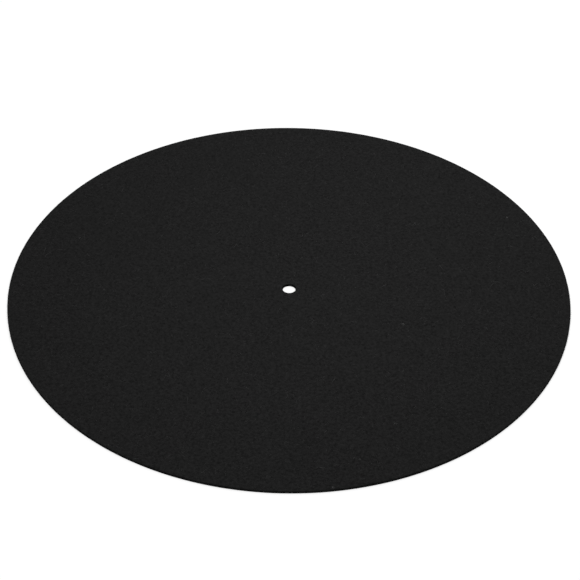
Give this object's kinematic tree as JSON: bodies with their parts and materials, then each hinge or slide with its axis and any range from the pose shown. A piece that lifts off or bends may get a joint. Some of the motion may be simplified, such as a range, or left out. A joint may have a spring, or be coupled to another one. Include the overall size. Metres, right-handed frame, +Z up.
{
  "type": "turntable platter mat",
  "caption": "Thin round felt mat that lies on a record turntable's platter, with a punched spindle hole in its middle.",
  "frame": {"origin": "middle of the mat's underside, on the axis of the spindle hole", "axes": "+Z up out of the top face, along the spindle hole; X and Y lie in the underside, and the mat is round, so +Y is any radius"},
  "size_m": [0.3, 0.3, 0.0015],
  "materials": {
    "black_felt": "matte"
  },
  "bodies": {
    "root": {"felt_mat": "black_felt"}
  },
  "joints": []
}
